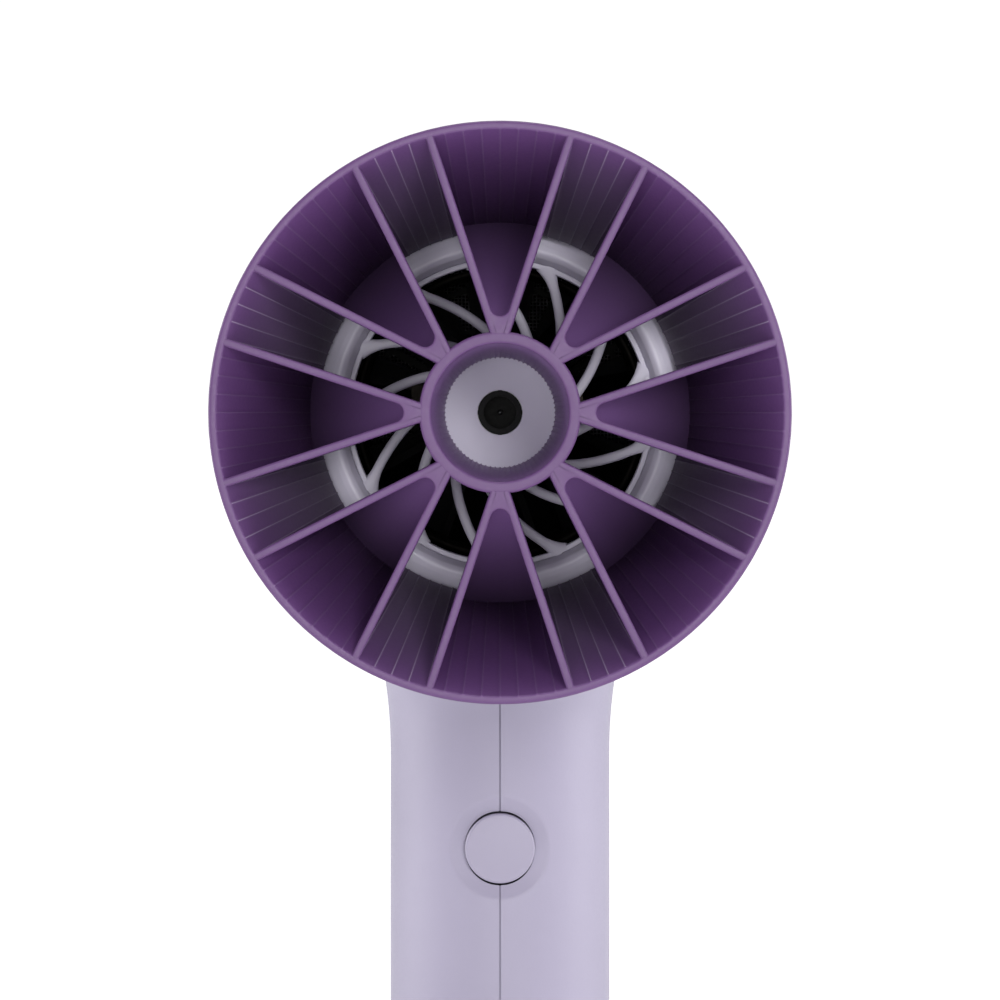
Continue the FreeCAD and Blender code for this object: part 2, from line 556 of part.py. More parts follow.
def diffuser_bell():
    """The whole moulding."""
    ribs = []
    for side in (-1, 1):
        ribs.extend(spread(rib(side), POCKETS, 22.5))
    rib_set = joined(ribs).common(bell_inside()).cut(disc(HUB_R - 0.5, RIM_Y - 1, BELL_BACK + 1))
    floors = spread(pocket_floor(), POCKETS)
    return joined([bell_wall(), rib_set, hub_ring()] + floors)


save("diffuser_bell", diffuser_bell())
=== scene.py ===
"""Travel hair dryer with a volumising diffuser: the surfaces that show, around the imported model.

Sizes in the sections are in millimetres, in the frame of the model. Air leaves towards -Y, and
the origin is the cord inlet at the foot of the handle.
"""
import bmesh
import bpy
import numpy as np
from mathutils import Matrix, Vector


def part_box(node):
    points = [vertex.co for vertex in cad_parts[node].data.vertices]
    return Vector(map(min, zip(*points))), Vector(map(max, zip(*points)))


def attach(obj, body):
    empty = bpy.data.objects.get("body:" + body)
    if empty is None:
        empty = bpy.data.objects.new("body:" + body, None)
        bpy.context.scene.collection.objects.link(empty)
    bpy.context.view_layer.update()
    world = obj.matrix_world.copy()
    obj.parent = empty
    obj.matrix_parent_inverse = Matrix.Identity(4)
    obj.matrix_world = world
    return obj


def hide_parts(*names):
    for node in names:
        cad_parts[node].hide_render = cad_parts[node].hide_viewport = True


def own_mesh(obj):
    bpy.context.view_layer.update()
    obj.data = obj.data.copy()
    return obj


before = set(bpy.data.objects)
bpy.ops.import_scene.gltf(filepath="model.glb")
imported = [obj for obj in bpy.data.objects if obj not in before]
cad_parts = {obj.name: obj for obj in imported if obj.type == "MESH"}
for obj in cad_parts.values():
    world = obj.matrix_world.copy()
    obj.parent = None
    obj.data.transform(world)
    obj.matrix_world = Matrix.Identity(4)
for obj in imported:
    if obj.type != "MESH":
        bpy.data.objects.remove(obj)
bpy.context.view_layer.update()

# ---- casing halves ---------------------------------------------------------------------------
# Two lavender ABS mouldings with a spark-eroded skin, left and right, screwed together at the
# foot. The round handle flares into the barrel and a shallow dish surrounds the front button.
case_low, case_high = (corner * 1000 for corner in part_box("left_casing"))
button_low, button_high = (corner * 1000 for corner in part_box("front_button"))
AXIS_Z = 160.0                          # height of the barrel's axis
BARREL_R = case_high.z - AXIS_Z
CASE_FRONT = case_low.y
CASE_REAR = case_high.y
HANDLE_FOOT = case_low.z
HANDLE_R = 20.25
SIDE_FLARE = 90.0                       # radius of the flare at the handle's left and right
END_FLARE = 20.0                        # radius of the flare at its front and back
MOUTH_ROUND = 1.2                       # how far the barrel draws in at its front edge
MOUTH_LENGTH = 5.0
CASE_WALL = 2.0
SEAM_HALF = 0.17                        # half the width of the groove between the halves
BUTTON_Z = (button_low.z + button_high.z) / 2
BUTTON_R = 6.4
BUTTON_HOLE_R = 6.75
DISH_R = 9.3
DISH_DEPTH = 1.0
PATCH = 12.0                            # half the side of the skin patch that holds the dish
LAVENDER = (0.29, 0.268, 0.355)


def grid_faces(rows, columns, first, wrap):
    """Quads of a rows by columns grid whose points start at index first; wrap closes each row."""
    index = first + np.arange(rows * columns).reshape(rows, columns)
    if wrap:
        index = np.concatenate([index, index[:, :1]], axis=1)
    quads = np.stack([index[:-1, :-1], index[:-1, 1:], index[1:, 1:], index[1:, :-1]], axis=-1)
    return quads.reshape(-1, 4).tolist()


def piece(name, body, grids, material, crease=38.0):
    """One mesh from (points, wraps, capped) grids: doubles merged, normals outwards, one material.

    A wrapped grid joins each row's last point to its first. A capped one has its first and last
    rows filled, so that a row of closed outlines makes a closed solid.
    """
    points, faces, first = [], [], 0
    for array, wrap, capped in grids:
        rows, columns = array.shape[:2]
        points.append(array.reshape(-1, 3))
        faces += grid_faces(rows, columns, first, wrap)
        if capped:
            last = first + (rows - 1) * columns
            faces += [list(range(first, first + columns)), list(range(last, last + columns))]
        first += rows * columns
    mesh = bpy.data.meshes.new(name)
    mesh.from_pydata((np.concatenate(points) / 1000).tolist(), [], faces)
    work = bmesh.new()
    work.from_mesh(mesh)
    bmesh.ops.remove_doubles(work, verts=work.verts, dist=2e-6)
    bmesh.ops.dissolve_degenerate(work, edges=work.edges, dist=1e-6)
    bmesh.ops.recalc_face_normals(work, faces=work.faces)
    work.to_mesh(mesh)
    work.free()
    mesh.shade_smooth()
    mesh.set_sharp_from_angle(angle=np.radians(crease))
    made = bpy.data.objects.new(name, mesh)
    bpy.context.scene.collection.objects.link(made)
    mesh.materials.append(material)
    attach(made, body)
    return made


def new_material(name):
    """Empty node material: returns it with its tree, its shader and Object coordinates."""
    material = bpy.data.materials.new(name)
    material.use_nodes = True
    tree = material.node_tree
    place = tree.nodes.new("ShaderNodeTexCoord").outputs["Object"]
    return material, tree, tree.nodes["Principled BSDF"], place


def noise(tree, place, scale, detail=3.0):
    """Noise of the given fineness on the piece's own coordinates."""
    node = tree.nodes.new("ShaderNodeTexNoise")
    node.inputs["Scale"].default_value = scale
    node.inputs["Detail"].default_value = detail
    tree.links.new(place, node.inputs["Vector"])
    return node.outputs["Fac"]


def between(tree, value, low, high, start=0.3, end=0.7):
    """Value from start to end, carried to low to high."""
    node = tree.nodes.new("ShaderNodeMapRange")
    for label, number in (("From Min", start), ("From Max", end), ("To Min", low), ("To Max", high)):
        node.inputs[label].default_value = number
    tree.links.new(value, node.inputs["Value"])
    return node.outputs["Result"]


def tones(tree, value, low, high, start=0.3, end=0.7):
    """Colour that goes from low to high as the value goes from start to end."""
    node = tree.nodes.new("ShaderNodeValToRGB")
    first, last = node.color_ramp.elements
    first.position, last.position = start, end
    first.color, last.color = [*low, 1], [*high, 1]
    tree.links.new(value, node.inputs["Fac"])
    return node.outputs["Color"]


def raise_skin(tree, shader, height, strength, distance):
    """Bump of the given height in metres on the shader's normal."""
    node = tree.nodes.new("ShaderNodeBump")
    node.inputs["Strength"].default_value = strength
    node.inputs["Distance"].default_value = distance
    tree.links.new(height, node.inputs["Height"])
    tree.links.new(node.outputs["Normal"], shader.inputs["Normal"])


def plastic(name, colour, rough=0.45, grain=1800.0, relief=0.12, drift=0.04):
    """Moulded plastic: fine mould grain as bump and gloss, and a slow drift of tone."""
    material, tree, shader, place = new_material(name)
    fine = noise(tree, place, grain)
    slow = noise(tree, place, 30.0, 4.0)
    dark = [c * (1 - drift) for c in colour]
    light = [min(1, c * (1 + drift)) for c in colour]
    tree.links.new(tones(tree, slow, dark, light), shader.inputs["Base Color"])
    tree.links.new(between(tree, fine, rough - 0.05, rough + 0.05), shader.inputs["Roughness"])
    raise_skin(tree, shader, fine, relief, 0.0001)
    shader.inputs["Specular IOR Level"].default_value = 0.35
    return material


casing_finish = plastic("matt_lavender", LAVENDER, rough=0.48)


def barrel_radius(y):
    """Radius of the barrel: straight, then drawn in as a parabola over its foremost stretch."""
    share = np.clip((CASE_FRONT + MOUTH_LENGTH - y) / MOUTH_LENGTH, 0, 1)
    return BARREL_R - MOUTH_ROUND * share ** 2


def neck_rows(turn, arc_rows=26, run_rows=30):
    """Rise of the casing in upright planes through the handle's axis, one for each turn angle.

    In each plane an arc leaves the handle's side upright and meets the barrel's underside at a
    tangent; the place where they touch is found by halving. From there the row follows the
    barrel out to its mid height or to its end. Returns plane radius and height over the axis.
    """
    cos, sin = np.cos(turn), np.abs(np.sin(turn))
    flare = END_FLARE + (SIDE_FLARE - END_FLARE) * cos ** 4
    low = np.full_like(turn, HANDLE_R)
    high = np.minimum(HANDLE_R + flare, 0.9999 * BARREL_R / np.maximum(cos, 1e-6))
    for _ in range(40):
        middle = (low + high) / 2
        drop = np.sqrt(BARREL_R ** 2 - (middle * cos) ** 2)
        lean = middle * cos ** 2 / np.hypot(drop, middle * cos ** 2)
        short = middle + flare * lean < HANDLE_R + flare
        low, high = np.where(short, middle, low), np.where(short, high, middle)
    touch = (low + high) / 2
    drop = np.sqrt(BARREL_R ** 2 - (touch * cos) ** 2)
    lean = touch * cos ** 2 / np.hypot(drop, touch * cos ** 2)
    centre_z = -drop - flare * np.sqrt(1 - lean ** 2)
    swing = np.linspace(0, 1, arc_rows)[:, None] * np.arccos(lean)
    arc_r = HANDLE_R + flare - flare * np.cos(swing)
    arc_z = centre_z + flare * np.sin(swing)
    end_y = np.where(turn < 0, -CASE_FRONT, CASE_REAR)
    reach = np.minimum(BARREL_R / np.maximum(cos, 1e-6), end_y / np.maximum(sin, 1e-6))
    share = np.sin(np.linspace(0, np.pi / 2, run_rows)[1:, None])
    run_r = touch + (reach - touch) * share
    run_z = -np.sqrt(np.maximum(BARREL_R ** 2 - (run_r * cos) ** 2, 0))
    return np.concatenate([arc_r, run_r]), np.concatenate([arc_z, run_z])


def half_place(x, y, z, side):
    """Points of one half, drawn clear of the middle plane by half the seam's groove."""
    return np.stack([side * (SEAM_HALF + x * (1 - SEAM_HALF / BARREL_R)), y, z], axis=-1)


def bowl(distance):
    """Depth of the finger dish: a spherical bowl, deepest at the hole and nothing from its edge on."""
    deep = (DISH_R ** 2 - distance ** 2) / (DISH_R ** 2 - BUTTON_HOLE_R ** 2)
    return DISH_DEPTH * np.clip(deep, 0, 1)


def sharpen_borders(mesh):
    """Marks as sharp, besides those that are, the edges that belong to one face only."""
    used = np.empty(len(mesh.loops), np.int32)
    mesh.loops.foreach_get("edge_index", used)
    sharp = np.empty(len(mesh.edges), bool)
    mesh.edges.foreach_get("use_edge_sharp", sharp)
    border = np.bincount(used, minlength=len(mesh.edges)) == 1
    mesh.edges.foreach_set("use_edge_sharp", sharp | border)


def casing_half(name, node, side):
    """Outer skin of one half, given its wall by Solidify.

    Rows climb the handle, then the neck; around the button they give way to a patch whose
    points run from the round hole out to the patch's straight borders, sunk by a smooth bowl.
    A second grid carries the barrel's upper quarter circle.
    """
    quarter = np.pi / 2
    patch_turn = PATCH / HANDLE_R
    front, rear = np.arctan2(CASE_FRONT, BARREL_R), np.arctan2(CASE_REAR, BARREL_R)
    turn = np.concatenate([np.linspace(-quarter, patch_turn - quarter, 17)[:-1],
                           np.linspace(patch_turn - quarter, front, 6)[:-1],
                           np.linspace(front, rear, 61)[:-1], np.linspace(rear, quarter, 25)])
    radius, height = neck_rows(turn)
    lower = np.linspace(HANDLE_FOOT, BUTTON_Z - PATCH, 12)[:-1, None] + 0 * turn
    beside = np.linspace(BUTTON_Z - PATCH, BUTTON_Z + PATCH, 33)[:, None] + 0 * turn
    above_z = BUTTON_Z + PATCH
    above = above_z + (AXIS_Z + height[0] - above_z) * np.linspace(0, 1, 9)[1:-1, None]
    straight = np.concatenate([lower, beside, above])
    z = np.concatenate([straight, AXIS_Z + height])
    r = np.concatenate([np.full_like(straight, HANDLE_R), radius])
    x, y = r * np.cos(turn), r * np.sin(turn)
    drawn = barrel_radius(y) / BARREL_R
    skin = half_place(x * drawn, y, AXIS_Z + (z - AXIS_Z) * drawn, side)
    start, end = len(lower), len(lower) + len(beside) - 1
    grids = [(skin[:start + 1], False, False), (skin[start:end + 1, 16:], False, False),
             (skin[end:], False, False)]
    run, side_run = np.linspace(0, PATCH, 17), np.linspace(-PATCH, PATCH, 33)
    border_s = np.concatenate([run[:-1], np.full(32, PATCH), run[::-1]])
    border_t = np.concatenate([np.full(16, -PATCH), side_run[:-1], np.full(17, PATCH)])
    around = np.linspace(0, np.pi, len(border_s))
    edge_share = (DISH_R - BUTTON_HOLE_R) / (PATCH - BUTTON_HOLE_R)
    out = np.concatenate([np.linspace(0, edge_share, 8)[:-1], np.linspace(edge_share, 1, 9)])[:, None]
    even = np.clip(out / edge_share - 1, 0, 1)
    square_s, square_t = PATCH * np.sin(around), -PATCH * np.cos(around)
    border_s = square_s * (1 - even) + border_s * even
    border_t = square_t * (1 - even) + border_t * even
    s = BUTTON_HOLE_R * np.sin(around) * (1 - out) + border_s * out
    t = -BUTTON_HOLE_R * np.cos(around) * (1 - out) + border_t * out
    sunk_r = HANDLE_R - bowl(np.hypot(s, t))
    dish = half_place(sunk_r * np.sin(s / HANDLE_R), -sunk_r * np.cos(s / HANDLE_R), BUTTON_Z + t, side)
    grids.append((dish, False, False))
    top_turn = turn[(turn > front - 1e-9) & (turn < rear + 1e-9)]
    top_y = BARREL_R * np.tan(top_turn)
    climb = np.linspace(0, quarter, 40)[:, None]
    top_r = barrel_radius(top_y)
    top = half_place(top_r * np.cos(climb), top_y + 0 * climb, AXIS_Z + top_r * np.sin(climb), side)
    grids.append((top, False, False))
    made = piece(name, "dryer_body", grids, casing_finish)
    outward = sum(face.normal.x * face.area for face in made.data.polygons) * side
    if outward < 0:
        made.data.flip_normals()
    sharpen_borders(made.data)
    wall = made.modifiers.new("wall", "SOLIDIFY")
    wall.thickness = CASE_WALL / 1000
    wall.offset = -1
    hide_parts(node)


casing_half("casing_half_right", "right_casing", 1)
casing_half("casing_half_left", "left_casing", -1)

# ---- seam tongue -----------------------------------------------------------------------------
# Thin lip moulded on one half that enters a groove in the other. It closes the joint, so that
# the seam shows as a shallow line and not as a slit.
TONGUE_DEEP = 0.25                      # the tongue's edge under the casing's skin
TONGUE_WIDE = 1.3
TONGUE_BITE = 0.02                      # how far it reaches into the walls beside it


def tongue_strip(y, z, in_y, in_z):
    """Flat bar in the middle plane along a line (y, z), set in along the given directions."""
    outer_y, outer_z = y + in_y * TONGUE_DEEP, z + in_z * TONGUE_DEEP
    inner_y, inner_z = outer_y + in_y * TONGUE_WIDE, outer_z + in_z * TONGUE_WIDE
    across = np.array([-1, 1, 1, -1]) * (SEAM_HALF + TONGUE_BITE)
    return np.stack([across + 0 * y[:, None],
                     np.stack([outer_y, outer_y, inner_y, inner_y], axis=1),
                     np.stack([outer_z, outer_z, inner_z, inner_z], axis=1)], axis=-1)


def tongue_rise(sign, low_z, neck):
    """Tongue up one side of the handle and, with neck, on along the barrel's underside."""
    z = np.linspace(low_z[0], low_z[1], 60)
    y = sign * HANDLE_R + (sign < 0) * bowl(np.abs(z - BUTTON_Z))
    if neck:
        radius, height = neck_rows(np.array([sign * np.pi / 2]))
        y = np.concatenate([y, sign * radius[1:, 0]])
        z = np.concatenate([z, AXIS_Z + height[1:, 0] * barrel_radius(sign * radius[1:, 0]) / BARREL_R])
    step_y, step_z = np.gradient(y), np.gradient(z)
    length = np.hypot(step_y, step_z)
    return tongue_strip(y, z, -sign * step_z / length, sign * step_y / length)


neck_base = AXIS_Z + neck_rows(np.array([-np.pi / 2]))[1][0, 0]
top_y = np.linspace(CASE_FRONT, CASE_REAR, 24)
strips = [tongue_rise(-1, (HANDLE_FOOT, BUTTON_Z - BUTTON_HOLE_R), False),
          tongue_rise(-1, (BUTTON_Z + BUTTON_HOLE_R, neck_base), True),
          tongue_rise(1, (HANDLE_FOOT, neck_base), True),
          tongue_strip(top_y, AXIS_Z + barrel_radius(top_y), 0 * top_y, 0 * top_y - 1)]
tongue = piece("seam_tongue", "dryer_body", [(strip, True, True) for strip in strips],
               plastic("tongue_lavender", [c * 0.8 for c in LAVENDER], rough=0.6))

# ---- front button ----------------------------------------------------------------------------
# Satin lavender push button for the cool shot, turned with a soft edge and a faint crown. It
# stands a little proud of the dish and slides in the hole of the casing.
BUTTON_FACE = button_low.y
BUTTON_LONG = 5.0
BUTTON_EDGE = 0.55
BUTTON_CROWN = 0.25
button_finish = plastic("satin_button", (0.285, 0.262, 0.348), rough=0.42, relief=0.02)


def rounded(corners, steps=5):
    """Closed outline through (a, b, radius) corners, each replaced by an arc tangent to its sides."""
    outline = []
    count = len(corners)
    for k, (a, b, radius) in enumerate(corners):
        here = np.array([a, b])
        before = np.array(corners[k - 1][:2]) - here
        after = np.array(corners[(k + 1) % count][:2]) - here
        long_before, long_after = np.linalg.norm(before), np.linalg.norm(after)
        before, after = before / long_before, after / long_after
        half = np.arccos(np.clip(before @ after, -1, 1)) / 2
        if radius <= 0 or half > 1.56:
            outline.append(here)
            continue
        back = min(radius / np.tan(half), 0.49 * min(long_before, long_after))
        radius = back * np.tan(half)
        centre = here + (before + after) / np.linalg.norm(before + after) * radius / np.sin(half)
        start, end = here + before * back - centre, here + after * back - centre
        sweep = np.pi - 2 * half
        for share in np.linspace(0, 1, steps):
            mixed = np.sin((1 - share) * sweep) * start + np.sin(share * sweep) * end
            outline.append(centre + mixed / np.sin(sweep))
    return np.array(outline)


def turned(outline, centre_z=AXIS_Z, columns=128):
    """Surface of revolution: a closed (radius, y) outline carried round a lengthwise axis."""
    angle = np.linspace(0, 2 * np.pi, columns, endpoint=False)[:, None]
    radius, y = outline[:, 0], outline[:, 1]
    around = np.stack([radius * np.sin(angle), y + 0 * angle, centre_z + radius * np.cos(angle)], axis=-1)
    return np.concatenate([around, around[:1]])


crown = np.linspace(0, 1, 8)
dome = [(BUTTON_R - BUTTON_EDGE) * crown, BUTTON_FACE + BUTTON_CROWN * crown ** 2]
bend = np.linspace(0, np.pi / 2, 7)[1:]
edge = [BUTTON_R - BUTTON_EDGE * (1 - np.sin(bend)),
        BUTTON_FACE + BUTTON_CROWN + BUTTON_EDGE * (1 - np.cos(bend))]
stem = [[BUTTON_R, 0], [BUTTON_FACE + BUTTON_LONG, BUTTON_FACE + BUTTON_LONG]]
button_outline = np.concatenate([dome, edge, stem], axis=1).T
button = piece("push_button", "button", [(turned(button_outline, BUTTON_Z, 96), True, False)], button_finish)
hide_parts("front_button")

# ---- button sleeve ---------------------------------------------------------------------------
# Folded silicone sleeve between the button and its carrier. It pushes the button back out and
# folds up as the button goes in.
sleeve_low, sleeve_high = (corner * 1000 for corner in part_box("button_spring"))
SLEEVE_WALL = 0.7
SLEEVE_FOLDS = 3
FOLD_DEEP = 0.9                         # from a fold's crest to the valley beside it


def sleeve_outline():
    """Outer side as a cosine wave between valleys and crests, and the inner side parallel to it."""
    share = np.linspace(0, 1, 37)
    out = sleeve_high.x - FOLD_DEEP / 2 * (1 + np.cos(2 * np.pi * SLEEVE_FOLDS * share))
    y = np.linspace(sleeve_low.y, sleeve_high.y, 37)
    return np.stack([np.concatenate([out, out[::-1] - SLEEVE_WALL]), np.concatenate([y, y[::-1]])], axis=1)


rubber = plastic("soft_rubber", (0.03, 0.03, 0.033), rough=0.7, relief=0.3)
sleeve = piece("button_sleeve", "dryer_body", [(turned(sleeve_outline(), BUTTON_Z, 64), True, False)], rubber)
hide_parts("button_spring")
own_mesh(sleeve)

# ---- outlet ring -----------------------------------------------------------------------------
# Smooth lavender ring pressed into the barrel's mouth. Its crest rolls into the outlet on the
# inside, and on the outside it is the spigot that the diffuser's collar slides over.
OUTLET_R = 27.2
NOSE_Y = -57.0
NOSE_R = 32.8
CREST_R = 29.0
# Painted light: the ring's inside, deep in the bell, is more than twice as pale as its flange, which keeps
# the casing's lavender.
outlet_finish = plastic("smooth_lavender", (0.65, 0.62, 0.735), rough=0.34, relief=0.04)
flange_finish = plastic("flange_lavender", LAVENDER, rough=0.45)
seat_r = BARREL_R - 2.3
nose_outline = rounded([
    (OUTLET_R, -48.0, 0), (OUTLET_R, -54.6, 0.8), (OUTLET_R + 0.9, -56.3, 1.2), (CREST_R, NOSE_Y, 1.6),
    (CREST_R + 1.3, -56.6, 1.6), (NOSE_R, -55.2, 0.5), (NOSE_R, CASE_FRONT - 0.4, 0.2),
    (BARREL_R - 1.4, CASE_FRONT - 0.4, 0.2), (BARREL_R - 1.4, CASE_FRONT - 0.05, 0),
    (seat_r, CASE_FRONT - 0.05, 0), (seat_r, CASE_FRONT + 6, 0), (OUTLET_R + 4, CASE_FRONT + 6, 0),
    (OUTLET_R + 4, CASE_FRONT + 1, 0)])
nose = piece("outlet_ring", "dryer_body", [(turned(nose_outline, columns=192), True, False)], outlet_finish)
nose.data.materials.append(flange_finish)
middles = np.empty(len(nose.data.polygons) * 3)
nose.data.polygons.foreach_get("center", middles)
out_r = np.hypot(middles[0::3], middles[2::3] - AXIS_Z / 1000)
nose.data.polygons.foreach_set("material_index", (out_r > (NOSE_R - 0.25) / 1000).astype(np.int32))
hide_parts("nozzle_ring")

# ---- swirl grille ----------------------------------------------------------------------------
# One lavender moulding behind the outlet's edge: thirteen curved spokes lead the air in a swirl
# from a thin rim to a hub, and the hub is hollowed like a funnel around the ion outlet.
SPOKES = 13
SPOKE_WIDE = 1.8
SWIRL = 0.806                           # radians a spoke turns as its radius shrinks by e times
FIRST_SPOKE = np.radians(17.5)
SPOKE_ROOT_R = 23.5                     # outside this radius a spoke widens into the rim
SPOKE_FRONT = -54.6
SPOKE_BACK = -50.0
GRILLE_HUB_R = 12.5
ION_BORE_R = 4.0
FUNNEL_R = 11.0
FUNNEL_FACE = -55.4
FUNNEL_DEEP = 4.4
HUB_BACK = -45.0


def swirl_spoke(start):
    """Rounded bar along a logarithmic spiral from the outlet's edge to the hub."""
    radius = np.linspace(OUTLET_R - 0.1, GRILLE_HUB_R - 1, 28)
    turn = start + SWIRL * np.log(OUTLET_R / radius)
    path = np.stack([radius * np.sin(turn), radius * np.cos(turn)], axis=1)
    along = np.gradient(path, axis=0)
    along /= np.linalg.norm(along, axis=1)[:, None]
    across = np.stack([along[:, 1], -along[:, 0]], axis=1)
    half = SPOKE_WIDE / 2
    flare = 1 + 1.3 * np.clip((radius - SPOKE_ROOT_R) / (OUTLET_R - SPOKE_ROOT_R), 0, 1) ** 2
    bar = rounded([(-half, SPOKE_FRONT, 0.6), (half, SPOKE_FRONT, 0.6), (0.8 * half, SPOKE_BACK, 0.2),
                   (-0.8 * half, SPOKE_BACK, 0.2)])
    flat = path[:, None] + across[:, None] * bar[None, :, :1] * flare[:, None, None]
    return np.stack([flat[..., 0], bar[:, 1] + 0 * flat[..., 0], AXIS_Z + flat[..., 1]], axis=-1)


bowl_r = np.linspace(FUNNEL_R, ION_BORE_R, 16)
bowl_y = FUNNEL_FACE + FUNNEL_DEEP * ((FUNNEL_R - bowl_r) / (FUNNEL_R - ION_BORE_R)) ** 1.35
hub_outline = np.concatenate([
    np.stack([bowl_r, bowl_y], axis=1),
    [[ION_BORE_R, HUB_BACK], [GRILLE_HUB_R, HUB_BACK], [GRILLE_HUB_R, FUNNEL_FACE + 0.7],
     [GRILLE_HUB_R - 0.5, FUNNEL_FACE]]])
rim_outline = rounded([(26.2, -54.5, 0.2), (27.15, -54.5, 0.2), (27.15, -49.0, 0), (26.2, -49.0, 0)])
grille_grids = [(swirl_spoke(FIRST_SPOKE + 2 * np.pi * k / SPOKES), True, True) for k in range(SPOKES)]
grille_grids += [(turned(hub_outline), True, False), (turned(rim_outline), True, False)]
# Painted light: the grille is more than twice as pale as the casing's lavender, standing in for light deep in
# the bell.
grille_finish = plastic("grille_lavender", (0.64, 0.61, 0.72), rough=0.4, relief=0.05)
grille = piece("swirl_grille", "dryer_body", grille_grids, grille_finish)
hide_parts("front_grille")

# ---- ion outlet ------------------------------------------------------------------------------
# A ceramic sleeve stands in the hub's bore, with a drawn steel needle on its axis. Both are coloured near
# black as painted shade, so that the bore reads dark.


def finish(nodes, material):
    """Gives a carried-over CAD node, or several, its finish."""
    for node in nodes:
        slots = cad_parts[node].data.materials
        if len(slots) == 0:
            slots.append(material)
        for k in range(len(slots)):
            slots[k] = material


def metal(name, colour, rough=0.3, grain=(400.0, 4000.0, 4000.0), drift=0.12):
    """Bare metal: a finish drawn out along one direction, with gloss and tone that follow it."""
    material, tree, shader, place = new_material(name)
    stretch = tree.nodes.new("ShaderNodeMapping")
    stretch.inputs["Scale"].default_value = grain
    tree.links.new(place, stretch.inputs["Vector"])
    drawn = noise(tree, stretch.outputs["Vector"], 1.0, 2.0)
    dark = [c * (1 - drift) for c in colour]
    tree.links.new(tones(tree, drawn, dark, colour), shader.inputs["Base Color"])
    tree.links.new(between(tree, drawn, rough - 0.06, rough + 0.1), shader.inputs["Roughness"])
    raise_skin(tree, shader, drawn, 0.1, 0.00003)
    shader.inputs["Metallic"].default_value = 1.0
    return material


steel_finish = metal("drawn_steel", (0.62, 0.62, 0.64))
finish(["ion_sleeve"], plastic("painted_shade_ceramic", (0.003, 0.003, 0.003), rough=0.8))
finish(["ion_needle"], metal("painted_shade_needle", (0.05, 0.05, 0.055), rough=0.4))

# ---- heater ----------------------------------------------------------------------------------
# Crossed mica boards inside a rolled mica tube hold coils of resistance wire, with a thermostat
# and a one-shot thermal fuse in the air stream.


def mica(name, low, high):
    """Mica paper: overlapping flakes that differ in tone and catch the light one by one."""
    material, tree, shader, place = new_material(name)
    flakes = tree.nodes.new("ShaderNodeTexVoronoi")
    flakes.inputs["Scale"].default_value = 420.0
    tree.links.new(place, flakes.inputs["Vector"])
    tree.links.new(tones(tree, flakes.outputs["Color"], low, high, 0.1, 0.9), shader.inputs["Base Color"])
    tree.links.new(between(tree, flakes.outputs["Color"], 0.3, 0.6, 0.0, 1.0), shader.inputs["Roughness"])
    raise_skin(tree, shader, flakes.outputs["Distance"], 0.2, 0.00005)
    return material


# Painted shade: the mica boards and tube, the coils, the thermostat and the fuse are coloured near black, so
# that the inside behind the grille reads as shade; the coils' darkness is partly their oxide.
finish(["mica_board_flat", "mica_board_upright"],
       mica("mica_board_finish", (0.008, 0.006, 0.005), (0.016, 0.012, 0.009)))
finish(["heater_tube"], mica("mica_tube_finish", (0.004, 0.003, 0.003), (0.009, 0.007, 0.006)))
finish(["heater_coils"], metal("oxide_and_shade_wire", (0.03, 0.027, 0.025), rough=0.6))
finish(["thermostat", "thermal_fuse"], metal("shade_darkened_brass", (0.04, 0.035, 0.03), rough=0.5))

# ---- motor and fan ---------------------------------------------------------------------------
# A small brushless motor sits in a moulded duct on soft rings. Its rotor carries a glass-filled
# nylon impeller behind the stator.
dark_moulding = plastic("dark_moulding", (0.010, 0.010, 0.012), rough=0.55)


def windings():
    """Enamelled copper: rows of wire, drawn as bands around the motor's axis."""
    material, tree, shader, place = new_material("enamelled_copper")
    rows = tree.nodes.new("ShaderNodeTexWave")
    rows.bands_direction = "Y"
    rows.inputs["Scale"].default_value = 520.0
    rows.inputs["Distortion"].default_value = 0.6
    tree.links.new(place, rows.inputs["Vector"])
    tree.links.new(tones(tree, rows.outputs["Fac"], (0.30, 0.09, 0.03), (0.78, 0.33, 0.15), 0.1, 0.9),
                   shader.inputs["Base Color"])
    tree.links.new(between(tree, rows.outputs["Fac"], 0.45, 0.25, 0.0, 1.0), shader.inputs["Roughness"])
    raise_skin(tree, shader, rows.outputs["Fac"], 0.6, 0.0001)
    shader.inputs["Metallic"].default_value = 1.0
    return material


finish(["motor_mount"], dark_moulding)
finish(["motor_dampers"], rubber)
finish(["motor_can", "front_bearing", "rear_bearing", "rotor_shaft"], steel_finish)
finish(["stator_core"], metal("stacked_laminations", (0.32, 0.32, 0.33), 0.4, (200.0, 9000.0, 200.0)))
finish(["stator_windings"], windings())
finish(["rotor_magnet", "cover_magnets", "collar_magnets"], metal("nickel_plate", (0.66, 0.64, 0.60), 0.22))
finish(["impeller"], plastic("glass_filled_nylon", (0.05, 0.05, 0.055), rough=0.55, grain=900.0))

# ---- control board ---------------------------------------------------------------------------
# Green board in the handle with its relay, capacitor and chip, the button's switch on a small
# carrier, and the slide switch at the back.


def board_finish():
    """Solder mask over a woven glass core, whose threads show as a faint square weave."""
    material, tree, shader, place = new_material("solder_mask")
    weave = tree.nodes.new("ShaderNodeTexBrick")
    weave.inputs["Scale"].default_value = 900.0
    weave.inputs["Color1"].default_value = (0.008, 0.10, 0.045, 1)
    weave.inputs["Color2"].default_value = (0.010, 0.12, 0.055, 1)
    weave.inputs["Mortar"].default_value = (0.006, 0.08, 0.035, 1)
    tree.links.new(place, weave.inputs["Vector"])
    tree.links.new(weave.outputs["Color"], shader.inputs["Base Color"])
    tree.links.new(between(tree, noise(tree, place, 700.0), 0.25, 0.4), shader.inputs["Roughness"])
    return material


finish(["control_board"], board_finish())
finish(["board_components", "tact_switch", "button_carrier", "slide_switch"], dark_moulding)

